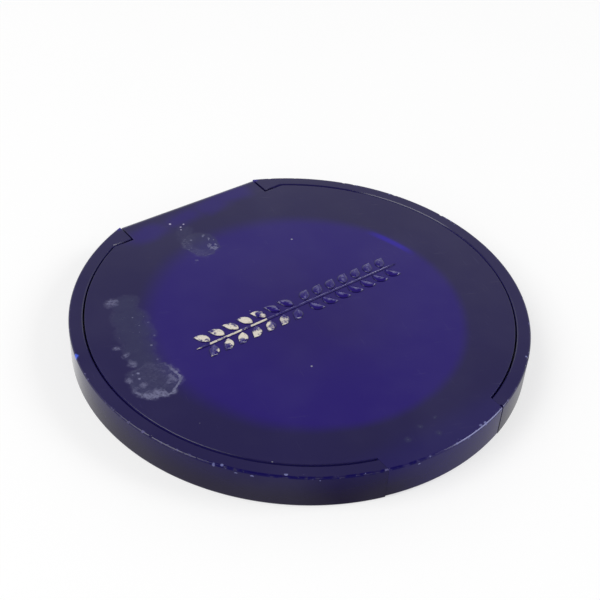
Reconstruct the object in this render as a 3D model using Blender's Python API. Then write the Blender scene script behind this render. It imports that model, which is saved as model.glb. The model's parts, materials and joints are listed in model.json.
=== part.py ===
"""Slim round powder compact, closed: a base with a raised rim, and a flush lid hinged between its two ears.

The origin is on the table under the middle of the disc, +Z is up, and the hinge is at the back, at +Y.
Every size below is in millimetres. `at` turns a point into metres, which is what the meshes hold.
"""

import math

import bmesh
import bpy

MM = 0.001

# Casing as a whole
OUTER_R = 41.0
HEIGHT = 6.5
OUTER_CHAMFER = 0.3
ROUND_STEPS = 120
SMALL_STEPS = 24

# Base
FLOOR_TOP = 0.9
RIM_INNER_R = 38.68
LEDGE_R = 37.6
LEDGE_TOP = 2.85
EAR_FRONT_Y = 33.4
CAVITY_BACK_Y = 32.2
LABEL_R = 25.0
LABEL_RECESS = 0.15
LABEL_GAP = 0.2

# Hinge: the knuckle of the lid turns between the ears of the base on two short pins
PIN_Y = 35.5
PIN_Z = 3.6
PIN_R = 0.75
PIN_BORE_R = 0.79
PIN_INNER_X = 10.0
PIN_OUTER_X = 19.0
PIN_END_GAP = 0.3
PIN_CHAMFER = 0.15
KNUCKLE_R = 2.6
KNUCKLE_HALF = 15.2
KNUCKLE_HEEL_R = 1.2
HINGE_NOTCH_HALF = 15.55
HINGE_SHELF_TOP = 0.75
HINGE_SHELF_BACK_Y = PIN_Y - 0.3
EAR_RELIEF_R = 3.85
EAR_RELIEF_HALF = 24.0

# Lid
LID_R = 38.25
LID_UNDER = 5.3
LID_BACK_Y = 32.97
LID_DRAFT = 0.65
LID_OVERLAP = 1.4
LID_EDGE_CHAMFER = 0.2
LID_EDGE_LAND = 0.5
TAB_HALF = 12.1
TAB_GAP = 0.1
TAB_BOTTOM = 0.25
TAB_INNER_R = 39.9
FRONT_WALL_R = 39.65
FRONT_WALL_TOP = 4.95
BEAD_HALF = 6.0
BEAD_HEIGHT = 0.6
BASE_BEAD_Z = 2.6
BASE_BEAD_R = 39.8
TAB_BEAD_Z = 1.7
TAB_BEAD_R = 39.7

# The round well and the mirror share this centre, a little in front of the middle of the disc
WELL_Y = -1.2
WELL_R = 29.6
WELL_WALL = 1.0
WELL_FOOT_Z = 0.95
DECK_R = 38.4
DECK_UNDER = 2.95
DECK_TOP = 3.9
DECK_BACK_GAP = 0.2
DECK_CHAMFER = 0.2
SCOOP_R = 12.0
SCOOP_DEPTH = 0.75
SCOOP_ANGLE = math.radians(-90)

MIRROR_R = 29.0
MIRROR_FACE_Z = 4.25
MIRROR_BACK_Z = 5.1
MIRROR_BEVEL = 0.3
MIRROR_TAPE_R = 25.0
MIRROR_TAPE_Z = (5.14, 5.26)
COLLAR_INNER_R = 29.3
COLLAR_OUTER_R = 31.0
COLLAR_FACE_Z = 4.2

# Contents, from the floor up
PAN_TAPE_R = 20.0
PAN_TAPE_Z = (0.94, 1.04)
PAN_R = 29.2
PAN_WALL = 0.3
PAN_Z = (1.08, 2.78)
PAN_CORNER = 0.6
POWDER_GAP = 0.05
POWDER_EDGE_Z = 2.4
POWDER_CROWN_Z = 2.62
POWDER_RINGS = 5
FILM_R = 29.2
FILM_Z = (2.84, 2.92)
FILM_NOTCH_HALF = 5.0
FILM_NOTCH_DEPTH = 2.2
PUFF_R = 28.0
PUFF_Z = (2.98, 4.0)
PUFF_EDGE_R = 0.45
RIBBON_HALF_WIDTH = 6.0
RIBBON_LENGTH = 50.0
RIBBON_Z = (4.04, 4.14)
LABEL_Z = (0.0, 0.12)

# Raised leaf sprig across the middle of the lid
SPRIG_HEIGHT = 0.35
SPRIG_ROOT = 0.1
SPRIG_HALF = 22.0
STEM_HALF_WIDTH = 0.22
STEM_POINT = 1.5
STEM_CHAMFER = 0.1
LEAF_PAIRS = 7
LEAF_LENGTH = 3.0
LEAF_WIDTH = 1.7
LEAF_TILT = math.radians(50)
LEAF_POINTS = 6
LEAF_TOP_SHARE = 0.6
LEAF_GAP = 0.3
LEAF_FIRST_X = 1.4

CUT_PAST = 2.0  # how far a cutter runs past the surface it opens
OVERLAP = 0.4  # how far a joined shape or a second cutter reaches into the first


def at(x, y, z):
    return (x * MM, y * MM, z * MM)


def material(name, colour, roughness, metallic=0.0, alpha=1.0):
    made = bpy.data.materials.new(name)
    made.use_nodes = True
    shader = made.node_tree.nodes["Principled BSDF"]
    shader.inputs["Base Color"].default_value = (*colour, 1.0)
    shader.inputs["Roughness"].default_value = roughness
    shader.inputs["Metallic"].default_value = metallic
    shader.inputs["Alpha"].default_value = alpha
    return made


# ---------------------------------------------------------------- shapes


def object_of(name, bm, finish=None):
    """Puts a closed bmesh in the scene as an object, smooth where its faces meet at a shallow angle."""
    bmesh.ops.recalc_face_normals(bm, faces=bm.faces)
    mesh = bpy.data.meshes.new(name)
    bm.to_mesh(mesh)
    bm.free()
    mesh.shade_smooth()
    mesh.set_sharp_from_angle(angle=math.radians(30))
    if finish:
        mesh.materials.append(finish)
    made = bpy.data.objects.new(name, mesh)
    bpy.context.scene.collection.objects.link(made)
    return made


def skinned(loops):
    """A closed bmesh over loops that have the same number of points, with a cap on the first and the last."""
    bm = bmesh.new()
    rings = [[bm.verts.new(at(*p)) for p in loop] for loop in loops]
    bm.faces.new(rings[0])
    bm.faces.new(rings[-1])
    for low, high in zip(rings, rings[1:]):
        for i, corner in enumerate(low):
            j = (i + 1) % len(low)
            bm.faces.new((corner, low[j], high[j], high[i]))
    return bm


def turned(profile, centre_y=0.0, steps=ROUND_STEPS):
    """A closed bmesh through circles of the given (radius, z), with flat ends on the first and the last."""
    turns = [2 * math.pi * i / steps for i in range(steps)]
    return skinned([[(r * math.cos(t), r * math.sin(t) + centre_y, z) for t in turns] for r, z in profile])


def disc(radius, z_range, centre_y=0.0, steps=ROUND_STEPS):
    return turned([(radius, z) for z in z_range], centre_y, steps)


def ring(inner, outer, z_range, centre_y=0.0):
    """A closed bmesh of a flat ring: its section, spun about a vertical axis."""
    low, high = z_range
    section = [(inner, low), (outer, low), (outer, high), (inner, high)]
    bm = bmesh.new()
    verts = [bm.verts.new(at(r, centre_y, z)) for r, z in section]
    edges = [bm.edges.new((verts[i - 1], verts[i])) for i in range(len(verts))]
    bmesh.ops.spin(
        bm,
        geom=verts + edges,
        axis=(0, 0, 1),
        cent=at(0, centre_y, 0),
        angle=2 * math.pi,
        steps=ROUND_STEPS,
        use_merge=True,
    )
    bmesh.ops.remove_doubles(bm, verts=bm.verts, dist=1e-7)
    return bm


def across(profile, half):
    """A closed bmesh of one (y, z) outline drawn out along X, from -half to half."""
    return skinned([[(x, y, z) for y, z in profile] for x in (-half, half)])


def round_the_front(profile, half, steps=15):
    """A closed bmesh of one (radius, z) outline that follows the casing's front, from x = -half to half."""
    stations = [half * (2 * i / steps - 1) for i in range(steps + 1)]
    return skinned([[(x, -math.sqrt(r * r - x * x), z) for r, z in profile] for x in stations])


def clipped_disc(radius, back_y, z, steps=ROUND_STEPS):
    """A circle whose back is cut straight at y = back_y, as a loop of points at height z."""
    start = math.asin(back_y / radius)
    sweep = math.pi + 2 * start
    angles = [start - sweep * i / steps for i in range(steps + 1)]
    return [(radius * math.cos(a), radius * math.sin(a), z) for a in angles]


def along_x(radius, x_range, chamfer=0.0):
    """A closed bmesh of a rod on the hinge's axis."""
    low, high = x_range
    sections = [(low, radius), (high, radius)]
    if chamfer:
        end = radius - chamfer
        sections = [(low, end), (low + chamfer, radius), (high - chamfer, radius), (high, end)]
    turns = [2 * math.pi * i / SMALL_STEPS for i in range(SMALL_STEPS)]
    circle = [(math.cos(t), math.sin(t)) for t in turns]
    return skinned([[(x, PIN_Y + r * c, PIN_Z + r * s) for c, s in circle] for x, r in sections])


def arc(centre, radius, start, end, steps):
    """Points of an arc in a plane, angles in degrees."""
    angles = [math.radians(start + (end - start) * i / steps) for i in range(steps + 1)]
    return [(centre[0] + radius * math.cos(a), centre[1] + radius * math.sin(a)) for a in angles]


def combine(target, operation, bm, name):
    """Adds a Boolean to target whose other operand is the given bmesh, kept out of renders."""
    tool = object_of(name, bm)
    tool.hide_render = True
    tool.display_type = "WIRE"
    modifier = target.modifiers.new(name, "BOOLEAN")
    modifier.operation = operation
    modifier.object = tool
    return tool


def cut(target, bm, name):
    return combine(target, "DIFFERENCE", bm, name)


def join(target, bm, name):
    return combine(target, "UNION", bm, name)


# ---------------------------------------------------------------- base


def base_shell(finish):
    """Floor, rim and ears in one piece, open in front for the lid's tab and behind for its knuckle."""
    c = OUTER_CHAMFER
    outside = [(OUTER_R - c, 0), (OUTER_R, c), (OUTER_R, HEIGHT - c), (OUTER_R - c, HEIGHT)]
    shell = object_of("base_shell", turned(outside), finish)

    above = HEIGHT + CUT_PAST
    pocket = [clipped_disc(RIM_INNER_R, EAR_FRONT_Y, z) for z in (LEDGE_TOP, above)]
    cut(shell, skinned(pocket), "pocket_cutter")
    cavity = [clipped_disc(LEDGE_R, CAVITY_BACK_Y, z) for z in (FLOOR_TOP, LEDGE_TOP + OVERLAP)]
    cut(shell, skinned(cavity), "cavity_cutter")

    notch_front, far_back = CAVITY_BACK_Y - OVERLAP, OUTER_R + CUT_PAST
    notch = [
        (notch_front, HINGE_SHELF_TOP),
        (HINGE_SHELF_BACK_Y, HINGE_SHELF_TOP),
        (HINGE_SHELF_BACK_Y, -CUT_PAST),
        (far_back, -CUT_PAST),
        (far_back, above),
        (notch_front, above),
    ]
    cut(shell, across(notch, HINGE_NOTCH_HALF), "hinge_notch_cutter")

    inside, outside_r = LEDGE_R - OVERLAP, OUTER_R + CUT_PAST
    opening = [
        (FRONT_WALL_R, -CUT_PAST),
        (FRONT_WALL_R, FRONT_WALL_TOP),
        (inside, FRONT_WALL_TOP),
        (inside, above),
        (outside_r, above),
        (outside_r, -CUT_PAST),
    ]
    cut(shell, round_the_front(opening, TAB_HALF + TAB_GAP), "tab_opening_cutter")

    cut(shell, disc(LABEL_R + LABEL_GAP, (-CUT_PAST, LABEL_RECESS)), "label_recess_cutter")
    for side in (-1, 1):
        span = sorted((side * (HINGE_NOTCH_HALF - OVERLAP), side * OUTER_R))
        cut(shell, along_x(PIN_BORE_R, span), f"ear_bore_cutter_{side}")

    root, half_height = FRONT_WALL_R - OVERLAP, BEAD_HEIGHT / 2
    bead = [
        (root, BASE_BEAD_Z - half_height),
        (BASE_BEAD_R, BASE_BEAD_Z - half_height / 3),
        (BASE_BEAD_R, BASE_BEAD_Z + half_height / 3),
        (root, BASE_BEAD_Z + half_height),
    ]
    join(shell, round_the_front(bead, BEAD_HALF, steps=7), "base_bead")
    return shell


def inner_deck(finish):
    """Flat surround of the powder well, dropped into the base, with a thumb scoop at the well's front."""
    back_y, c = CAVITY_BACK_Y - DECK_BACK_GAP, DECK_CHAMFER
    loops = [
        clipped_disc(DECK_R, back_y, DECK_UNDER),
        clipped_disc(DECK_R, back_y, DECK_TOP - c),
        clipped_disc(DECK_R - c, back_y - c, DECK_TOP),
    ]
    deck = object_of("inner_deck", skinned(loops), finish)
    join(deck, disc(WELL_R + WELL_WALL, (WELL_FOOT_Z, DECK_UNDER + OVERLAP), WELL_Y), "well_wall")
    cut(deck, disc(WELL_R, (0, DECK_TOP + CUT_PAST), WELL_Y), "well_cutter")

    bm = bmesh.new()
    bmesh.ops.create_uvsphere(bm, u_segments=48, v_segments=48, radius=SCOOP_R * MM)
    scoop_x = WELL_R * math.cos(SCOOP_ANGLE)
    scoop_y = WELL_Y + WELL_R * math.sin(SCOOP_ANGLE)
    scoop_z = DECK_TOP + SCOOP_R - SCOOP_DEPTH
    bmesh.ops.translate(bm, verts=bm.verts, vec=at(scoop_x, scoop_y, scoop_z))
    cut(deck, bm, "thumb_scoop_cutter")
    return deck


# ---------------------------------------------------------------- lid


def knuckle_outline():
    """Hinge barrel in side view: round under the pin, square to the back, with a rounded heel above it."""
    front, back, heel = PIN_Y - KNUCKLE_R, PIN_Y + KNUCKLE_R, KNUCKLE_HEEL_R
    in_plate = LID_BACK_Y - LID_OVERLAP
    barrel = arc((PIN_Y, PIN_Z), KNUCKLE_R, -180, 0, 16)
    top = arc((back - heel, HEIGHT - heel), heel, 0, 90, 6)
    return [(in_plate, LID_UNDER), (front, LID_UNDER), *barrel, *top, (in_plate, HEIGHT)]


def tab_outline():
    """Front tab in section: it carries on from the lid's plate, then turns down as the front wall."""
    c = OUTER_CHAMFER
    in_plate = LID_R - LID_OVERLAP
    return [
        (in_plate, LID_UNDER),
        (TAB_INNER_R, LID_UNDER),
        (TAB_INNER_R, TAB_BOTTOM),
        (OUTER_R - c, TAB_BOTTOM),
        (OUTER_R, TAB_BOTTOM + c),
        (OUTER_R, HEIGHT - c),
        (OUTER_R - c, HEIGHT),
        (in_plate, HEIGHT),
    ]


def leaf(base_x, base_y, angle):
    """One raised leaf as loops from its root in the plate to its smaller flat top."""
    steps = [i / LEAF_POINTS for i in range(LEAF_POINTS)]
    outline = [(t, math.sin(math.pi * t)) for t in steps] + [(1 - t, -math.sin(math.pi * t)) for t in steps]
    root, top = HEIGHT - SPRIG_ROOT, HEIGHT + SPRIG_HEIGHT
    loops = []
    for z, share in ((root, 1.0), (HEIGHT + SPRIG_HEIGHT / 2, 1.0), (top, LEAF_TOP_SHARE)):
        loop = []
        for t, w in outline:
            u = LEAF_LENGTH * (0.5 + (t - 0.5) * share)
            v = LEAF_WIDTH / 2 * w * share
            x = base_x + u * math.cos(angle) - v * math.sin(angle)
            y = base_y + u * math.sin(angle) + v * math.cos(angle)
            loop.append((x, y, z))
        loops.append(loop)
    return loops


def stem():
    """The straight stem of the sprig, pointed at both ends."""
    root, top, full = HEIGHT - SPRIG_ROOT, HEIGHT + SPRIG_HEIGHT, STEM_HALF_WIDTH
    tip, shoulder = SPRIG_HALF, SPRIG_HALF - STEM_POINT
    loops = []
    for z, w in ((root, full), (top - STEM_CHAMFER, full), (top, full - STEM_CHAMFER)):
        outline = [(-tip, 0), (-shoulder, -w), (shoulder, -w), (tip, 0), (shoulder, w), (-shoulder, w)]
        loops.append([(x, y, z) for x, y in outline])
    return loops


def sprig():
    """Stem and leaves as one bmesh of separate closed shapes. The leaves point away from the middle."""
    whole = bmesh.new()
    shapes = [stem()]
    pitch = (SPRIG_HALF - LEAF_FIRST_X - LEAF_LENGTH) / (LEAF_PAIRS - 1)
    for side in (-1, 1):
        for k in range(LEAF_PAIRS):
            x = side * (LEAF_FIRST_X + pitch * k)
            for up in (-1, 1):
                tilt = LEAF_TILT if side > 0 else math.pi - LEAF_TILT
                shapes.append(leaf(x, up * (STEM_HALF_WIDTH + LEAF_GAP), up * tilt))
    for loops in shapes:
        one = skinned(loops)
        mesh = bpy.data.meshes.new("sprig_part")
        one.to_mesh(mesh)
        one.free()
        whole.from_mesh(mesh)
        bpy.data.meshes.remove(mesh)
    return whole


def lid_shell(finish):
    """Flush plate, hinge knuckle, front tab with its catch bead, and the collar that holds the mirror."""
    lower, flat_back = LID_R - LID_DRAFT, LID_BACK_Y - LID_DRAFT
    e = LID_EDGE_CHAMFER
    loops = [
        clipped_disc(lower, flat_back, LID_UNDER),
        clipped_disc(LID_R, LID_BACK_Y, HEIGHT - LID_EDGE_LAND),
        clipped_disc(LID_R, LID_BACK_Y, HEIGHT - e),
        clipped_disc(LID_R - e, LID_BACK_Y - e, HEIGHT),
    ]
    lid = object_of("lid_shell", skinned(loops), finish)
    cut(lid, along_x(EAR_RELIEF_R, (-EAR_RELIEF_HALF, EAR_RELIEF_HALF)), "ear_relief_cutter")
    join(lid, across(knuckle_outline(), KNUCKLE_HALF), "knuckle")
    join(lid, round_the_front(tab_outline(), TAB_HALF), "front_tab")
    join(lid, ring(COLLAR_INNER_R, COLLAR_OUTER_R, (COLLAR_FACE_Z, LID_UNDER + OVERLAP), WELL_Y), "mirror_collar")

    half_height, root = BEAD_HEIGHT / 2, TAB_INNER_R + OVERLAP
    bead = [
        (root, TAB_BEAD_Z - half_height),
        (root, TAB_BEAD_Z + half_height),
        (TAB_BEAD_R, TAB_BEAD_Z + half_height / 3),
        (TAB_BEAD_R, TAB_BEAD_Z - half_height / 3),
    ]
    join(lid, round_the_front(bead, BEAD_HALF, steps=7), "tab_bead")
    for side in (-1, 1):
        span = sorted((side * (PIN_INNER_X - PIN_END_GAP), side * (KNUCKLE_HALF + CUT_PAST)))
        cut(lid, along_x(PIN_BORE_R, span), f"knuckle_bore_cutter_{side}")
    join(lid, sprig(), "leaf_sprig")
    return lid


def mirror(finish):
    face, back, bevel = MIRROR_FACE_Z, MIRROR_BACK_Z, MIRROR_BEVEL
    profile = [(MIRROR_R - bevel, face), (MIRROR_R, face + bevel), (MIRROR_R, back)]
    return object_of("mirror", turned(profile, WELL_Y, steps=96), finish)


# ---------------------------------------------------------------- contents


def powder_pan(finish):
    """Pressed aluminium dish with a rounded bottom corner."""
    low, high = PAN_Z
    r, t, corner = PAN_R, PAN_WALL, PAN_CORNER
    outer = arc((r - corner, low + corner), corner, -90, 0, 3)
    inner = arc((r - corner, low + corner), corner - t, 0, -90, 3)
    profile = [*outer, (r, high), (r - t, high), *inner]
    return object_of("powder_pan", turned(profile, WELL_Y, steps=72), finish)


def pressed_powder(finish):
    """Cake of powder that fills the dish and crowns gently in the middle."""
    low = PAN_Z[0] + PAN_WALL + POWDER_GAP
    r = PAN_R - PAN_WALL - POWDER_GAP
    crown = POWDER_CROWN_Z - POWDER_EDGE_Z
    shares = [1 - i / POWDER_RINGS for i in range(POWDER_RINGS)]
    top = [(r * s, POWDER_EDGE_Z + crown * (1 - s * s)) for s in shares]
    profile = [(r - PAN_CORNER, low), (r, low + PAN_CORNER), *top]
    return object_of("pressed_powder", turned(profile, WELL_Y, steps=60), finish)


def separator_film(finish):
    """Clear disc over the powder, with a notch at the front to lift it by."""
    start = -math.pi / 2 + math.asin(FILM_NOTCH_HALF / FILM_R)
    sweep = 2 * math.pi - 2 * (start + math.pi / 2)
    steps = 72
    rim = [start + sweep * i / steps for i in range(steps + 1)]
    mouth_y = FILM_R * math.sin(start)
    notch = [math.pi - math.pi * i / 8 for i in range(1, 8)]
    outline = [(FILM_R * math.cos(a), FILM_R * math.sin(a)) for a in rim]
    outline += [(FILM_NOTCH_HALF * math.cos(a), mouth_y + FILM_NOTCH_DEPTH * math.sin(a)) for a in notch]
    loops = [[(x, y + WELL_Y, z) for x, y in outline] for z in FILM_Z]
    return object_of("separator_film", skinned(loops), finish)


def powder_puff(finish):
    """Thin round puff with a soft edge."""
    low, high = PUFF_Z
    e = PUFF_EDGE_R
    under = arc((PUFF_R - e, low + e), e, -90, 0, 3)
    over = arc((PUFF_R - e, high - e), e, 0, 90, 3)
    return object_of("powder_puff", turned([*under, *over], WELL_Y, steps=60), finish)


def puff_ribbon(finish):
    """Flat finger ribbon across the puff."""
    half, w = RIBBON_LENGTH / 2, RIBBON_HALF_WIDTH
    outline = [(-half, WELL_Y - w), (half, WELL_Y - w), (half, WELL_Y + w), (-half, WELL_Y + w)]
    return object_of("puff_ribbon", skinned([[(x, y, z) for x, y in outline] for z in RIBBON_Z]), finish)


def hinge_pin(name, side, finish):
    span = sorted((side * PIN_INNER_X, side * PIN_OUTER_X))
    return object_of(name, along_x(PIN_R, span, chamfer=PIN_CHAMFER), finish)


# ---------------------------------------------------------------- assembly


def clear_scene():
    for old in list(bpy.data.objects):
        bpy.data.objects.remove(old)


def hold(parts, origin, name):
    """Parents the parts to an empty at the given point, and leaves them where they are."""
    empty = bpy.data.objects.new(name, None)
    bpy.context.scene.collection.objects.link(empty)
    empty.location = at(*origin)
    for part in parts:
        part.parent = empty
        part.location = at(*(-v for v in origin))
    return empty


def build():
    clear_scene()
    casing = material("casing_plastic", (0.030, 0.022, 0.120), 0.12)
    deck_finish = material("deck_plastic", (0.028, 0.022, 0.110), 0.25)
    glass = material("mirror_glass", (0.85, 0.87, 0.88), 0.03, metallic=1.0)
    tape = material("adhesive_tape", (0.78, 0.76, 0.70), 0.6)
    aluminium = material("pan_aluminium", (0.80, 0.80, 0.81), 0.35, metallic=1.0)
    powder = material("pressed_powder", (0.78, 0.56, 0.42), 0.9)
    clear = material("clear_film", (0.90, 0.92, 0.94), 0.1, alpha=0.25)
    velour = material("puff_velour", (0.86, 0.78, 0.68), 0.95)
    satin = material("satin_ribbon", (0.05, 0.04, 0.18), 0.4)
    steel = material("pin_steel", (0.60, 0.60, 0.62), 0.3, metallic=1.0)
    paper = material("label_paper", (0.75, 0.75, 0.77), 0.5)

    base_shell(casing)
    inner_deck(deck_finish)
    hinge_pin("hinge_pin_left", -1, steel)
    hinge_pin("hinge_pin_right", 1, steel)
    object_of("pan_tape", disc(PAN_TAPE_R, PAN_TAPE_Z, WELL_Y, steps=48), tape)
    powder_pan(aluminium)
    pressed_powder(powder)
    separator_film(clear)
    powder_puff(velour)
    puff_ribbon(satin)
    object_of("base_label", disc(LABEL_R, LABEL_Z, steps=64), paper)

    lid = lid_shell(casing)
    backing = object_of("mirror_tape", disc(MIRROR_TAPE_R, MIRROR_TAPE_Z, WELL_Y, steps=48), tape)
    tools = [modifier.object for modifier in lid.modifiers]
    hold([lid, mirror(glass), backing, *tools], (0, PIN_Y, PIN_Z), "lid_hinge_axis")


build()
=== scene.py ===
"""Looks of a slim round powder compact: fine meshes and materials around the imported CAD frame.

Outlines and positions are in millimetres, and `at` turns them into metres. +Z is up, the hinge is at the
back (+Y) and the front tab is at -Y.
"""

import json
import math
import random

import bmesh
import bpy
import numpy as np
from mathutils import Matrix, Vector, noise


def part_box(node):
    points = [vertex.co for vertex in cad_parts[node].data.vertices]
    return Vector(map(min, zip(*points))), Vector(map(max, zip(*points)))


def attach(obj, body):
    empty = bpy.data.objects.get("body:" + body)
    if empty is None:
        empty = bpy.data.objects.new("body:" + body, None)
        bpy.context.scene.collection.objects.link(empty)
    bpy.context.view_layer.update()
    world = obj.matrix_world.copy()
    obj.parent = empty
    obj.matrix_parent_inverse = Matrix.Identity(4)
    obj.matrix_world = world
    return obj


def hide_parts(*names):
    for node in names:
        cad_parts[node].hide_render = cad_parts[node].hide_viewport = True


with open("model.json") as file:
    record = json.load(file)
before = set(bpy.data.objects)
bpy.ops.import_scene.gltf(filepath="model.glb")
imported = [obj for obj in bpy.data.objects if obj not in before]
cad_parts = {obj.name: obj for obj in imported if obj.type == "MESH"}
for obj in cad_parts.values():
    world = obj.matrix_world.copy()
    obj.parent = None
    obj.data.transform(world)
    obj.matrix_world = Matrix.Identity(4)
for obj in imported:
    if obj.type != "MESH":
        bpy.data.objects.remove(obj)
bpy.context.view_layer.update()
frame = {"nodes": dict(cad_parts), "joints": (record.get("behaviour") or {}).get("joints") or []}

MM = 0.001


def box_mm(node):
    low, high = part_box(node)
    return low / MM, high / MM


# ---------------------------------------------------------------- sizes, read from the frame

BASE_HIGH = box_mm("base_shell")[1]
LID_LOW, LID_HIGH = box_mm("lid_shell")
DECK_LOW, DECK_HIGH = box_mm("inner_deck")
MIRROR_LOW, MIRROR_HIGH = box_mm("mirror")
PAN_LOW, PAN_HIGH = box_mm("powder_pan")
POWDER_LOW, POWDER_HIGH = box_mm("pressed_powder")
FILM_LOW, FILM_HIGH = box_mm("separator_film")
PUFF_LOW, PUFF_HIGH = box_mm("powder_puff")
RIBBON_LOW, RIBBON_HIGH = box_mm("puff_ribbon")
LABEL_LOW, LABEL_HIGH = box_mm("base_label")
PIN_LOW, PIN_HIGH = box_mm("hinge_pin_right")

HINGE = Vector(frame["joints"][0]["pos_m"]) / MM
OUTER_R = BASE_HIGH.x
HEIGHT = BASE_HIGH.z
LID_R = LID_HIGH.x
TAB_BOTTOM = LID_LOW.z
KNUCKLE_R = LID_HIGH.y - HINGE.y
WELL_Y = (MIRROR_LOW.y + MIRROR_HIGH.y) / 2
MIRROR_R = MIRROR_HIGH.x
PIN_R = (PIN_HIGH.z - PIN_LOW.z) / 2

# Sizes that the boxes don't give, mostly of the two mouldings
ROUND_STEPS = 360
OUTER_ROUNDING = 0.38
FLOOR_TOP = 0.9
RIM_INNER_R = LID_R + 0.31
RIM_CHAMFER = 0.13
LEDGE_R = LID_R - 0.65
LEDGE_TOP = 2.85
EAR_FRONT_Y = HINGE.y - 2.1
CAVITY_BACK_Y = 32.2
LABEL_RECESS_R = LABEL_HIGH.x + 0.2
LABEL_RECESS = 0.15
PIN_BORE_R = PIN_R + 0.04
KNURL_DEPTH = 0.05
KNUCKLE_HALF = 15.2
KNUCKLE_HEEL = 1.3
HINGE_NOTCH_HALF = KNUCKLE_HALF + 0.35
HINGE_SHELF_TOP = 0.75
HINGE_SHELF_BACK_Y = HINGE.y - 0.3
EAR_RELIEF_R = 3.85
EAR_RELIEF_HALF = 24.0
LID_UNDER = 5.3
LID_BACK_Y = HINGE.y - 2.53
LID_DRAFT = 0.65
LID_ROUNDING = 0.16
TAB_HALF = 12.1
TAB_GAP = 0.03
TAB_WALL_GAP = 0.34
TAB_INNER_R = OUTER_R - 1.1
TAB_SLOT_Y = -38.45
FRONT_WALL_R = TAB_INNER_R - 0.25
FRONT_WALL_TOP = 4.95
BEAD_HALF = 6.0
COLLAR_INNER_R = MIRROR_R + 0.3
COLLAR_OUTER_R = COLLAR_INNER_R + 1.7
WELL_R = PAN_HIGH.x + 0.4
WELL_WALL = 1.0
SCOOP_R = 12.0
SCOOP_DEPTH = 0.75
SPRIG_RISE = LID_HIGH.z - HEIGHT
SPRIG_HALF = 22.0
DECK_UNDER = 2.95
FILM_NOTCH_HALF = 5.0
FILM_NOTCH_DEPTH = 2.2
CUT_PAST = 2.0
WELD = 0.003


def at(x, y, z):
    return (x * MM, y * MM, z * MM)


# ---------------------------------------------------------------- mesh helpers


def mesh_object(name, bm):
    """Puts a closed bmesh in the scene."""
    bmesh.ops.recalc_face_normals(bm, faces=bm.faces)
    mesh = bpy.data.meshes.new(name)
    bm.to_mesh(mesh)
    bm.free()
    made = bpy.data.objects.new(name, mesh)
    bpy.context.scene.collection.objects.link(made)
    return made


def apply_modifiers(target):
    bpy.context.view_layer.update()
    graph = bpy.context.evaluated_depsgraph_get()
    done = bpy.data.meshes.new_from_object(target.evaluated_get(graph))
    done.name = target.name
    target.modifiers.clear()
    target.data = done


def weld(mesh):
    """Joins points that a Boolean left side by side, and removes the slivers between them."""
    bm = bmesh.new()
    bm.from_mesh(mesh)
    bmesh.ops.remove_doubles(bm, verts=bm.verts, dist=WELD * MM)
    bmesh.ops.dissolve_degenerate(bm, edges=bm.edges, dist=WELD * MM)
    bm.to_mesh(mesh)
    bm.free()


def carved(name, body, *steps):
    """A bmesh with each (Boolean operation, bmesh) carried out on it in turn, as a finished object."""
    target = mesh_object(name, body)
    tools = []
    for operation, shape in steps:
        tool = mesh_object(name + "_tool", shape)
        modifier = target.modifiers.new(operation, "BOOLEAN")
        modifier.operation = operation
        modifier.object = tool
        tools.append(tool)
    apply_modifiers(target)
    weld(target.data)
    for tool in tools:
        bpy.data.objects.remove(tool)
    return target


def smooth(target, angle=35):
    """Smooth shading up to an angle, with flat faces kept flat beside rounded edges."""
    target.data.shade_smooth()
    target.data.set_sharp_from_angle(angle=math.radians(angle))
    weighted = target.modifiers.new("flat_faces", "WEIGHTED_NORMAL")
    weighted.keep_sharp = True
    return target


def skinned(loops):
    """A closed bmesh over loops with the same number of points, capped on the first and the last."""
    bm = bmesh.new()
    rings = [[bm.verts.new(at(*p)) for p in loop] for loop in loops]
    bm.faces.new(rings[0])
    bm.faces.new(rings[-1])
    for low, high in zip(rings, rings[1:]):
        for i, corner in enumerate(low):
            j = (i + 1) % len(low)
            bm.faces.new((corner, low[j], high[j], high[i]))
    return bm


def circle(steps):
    """Points (x, y) of a circle of radius 1."""
    turns = [2 * math.pi * i / steps for i in range(steps)]
    return [(math.cos(t), math.sin(t)) for t in turns]


def turned(profile, centre_y=0.0, steps=ROUND_STEPS):
    """A closed bmesh through circles of the given (radius, z), with flat ends on the first and the last."""
    return skinned([[(r * c, r * s + centre_y, z) for c, s in circle(steps)] for r, z in profile])


def ring(section, centre_y, steps):
    """A closed bmesh of a closed (radius, z) outline, turned about a vertical axis."""
    bm = bmesh.new()
    rows = [[bm.verts.new(at(r * c, r * s + centre_y, z)) for c, s in circle(steps)] for r, z in section]
    for k, row in enumerate(rows):
        before = rows[k - 1]
        for i, corner in enumerate(row):
            bm.faces.new((before[i - 1], before[i], corner, row[i - 1]))
    return bm


def rounded(points, steps=4):
    """A closed outline with rounded corners. A point is (a, b), or (a, b, how far its rounding reaches)."""
    outline = []
    for i, point in enumerate(points):
        corner = Vector(point[:2])
        if len(point) == 2:
            outline.append(corner)
            continue
        before = (Vector(points[i - 1][:2]) - corner).normalized() * point[2]
        after = (Vector(points[(i + 1) % len(points)][:2]) - corner).normalized() * point[2]
        for k in range(steps + 1):
            share = k / steps
            outline.append(corner + before * (1 - share) ** 2 + after * share**2)
    return outline


def inset(outline, distance):
    """An anticlockwise closed outline, moved inwards."""
    points = [Vector(p) for p in outline]
    moved = []
    for before, corner, after in zip(points[-1:] + points[:-1], points, points[1:] + points[:1]):
        first = (corner - before).normalized()
        second = (after - corner).normalized()
        inwards = Vector((-first.y - second.y, first.x + second.x)).normalized()
        lean = max(0.5, inwards.dot(Vector((-first.y, first.x))))
        moved.append(corner + inwards * distance / lean)
    return moved


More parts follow.
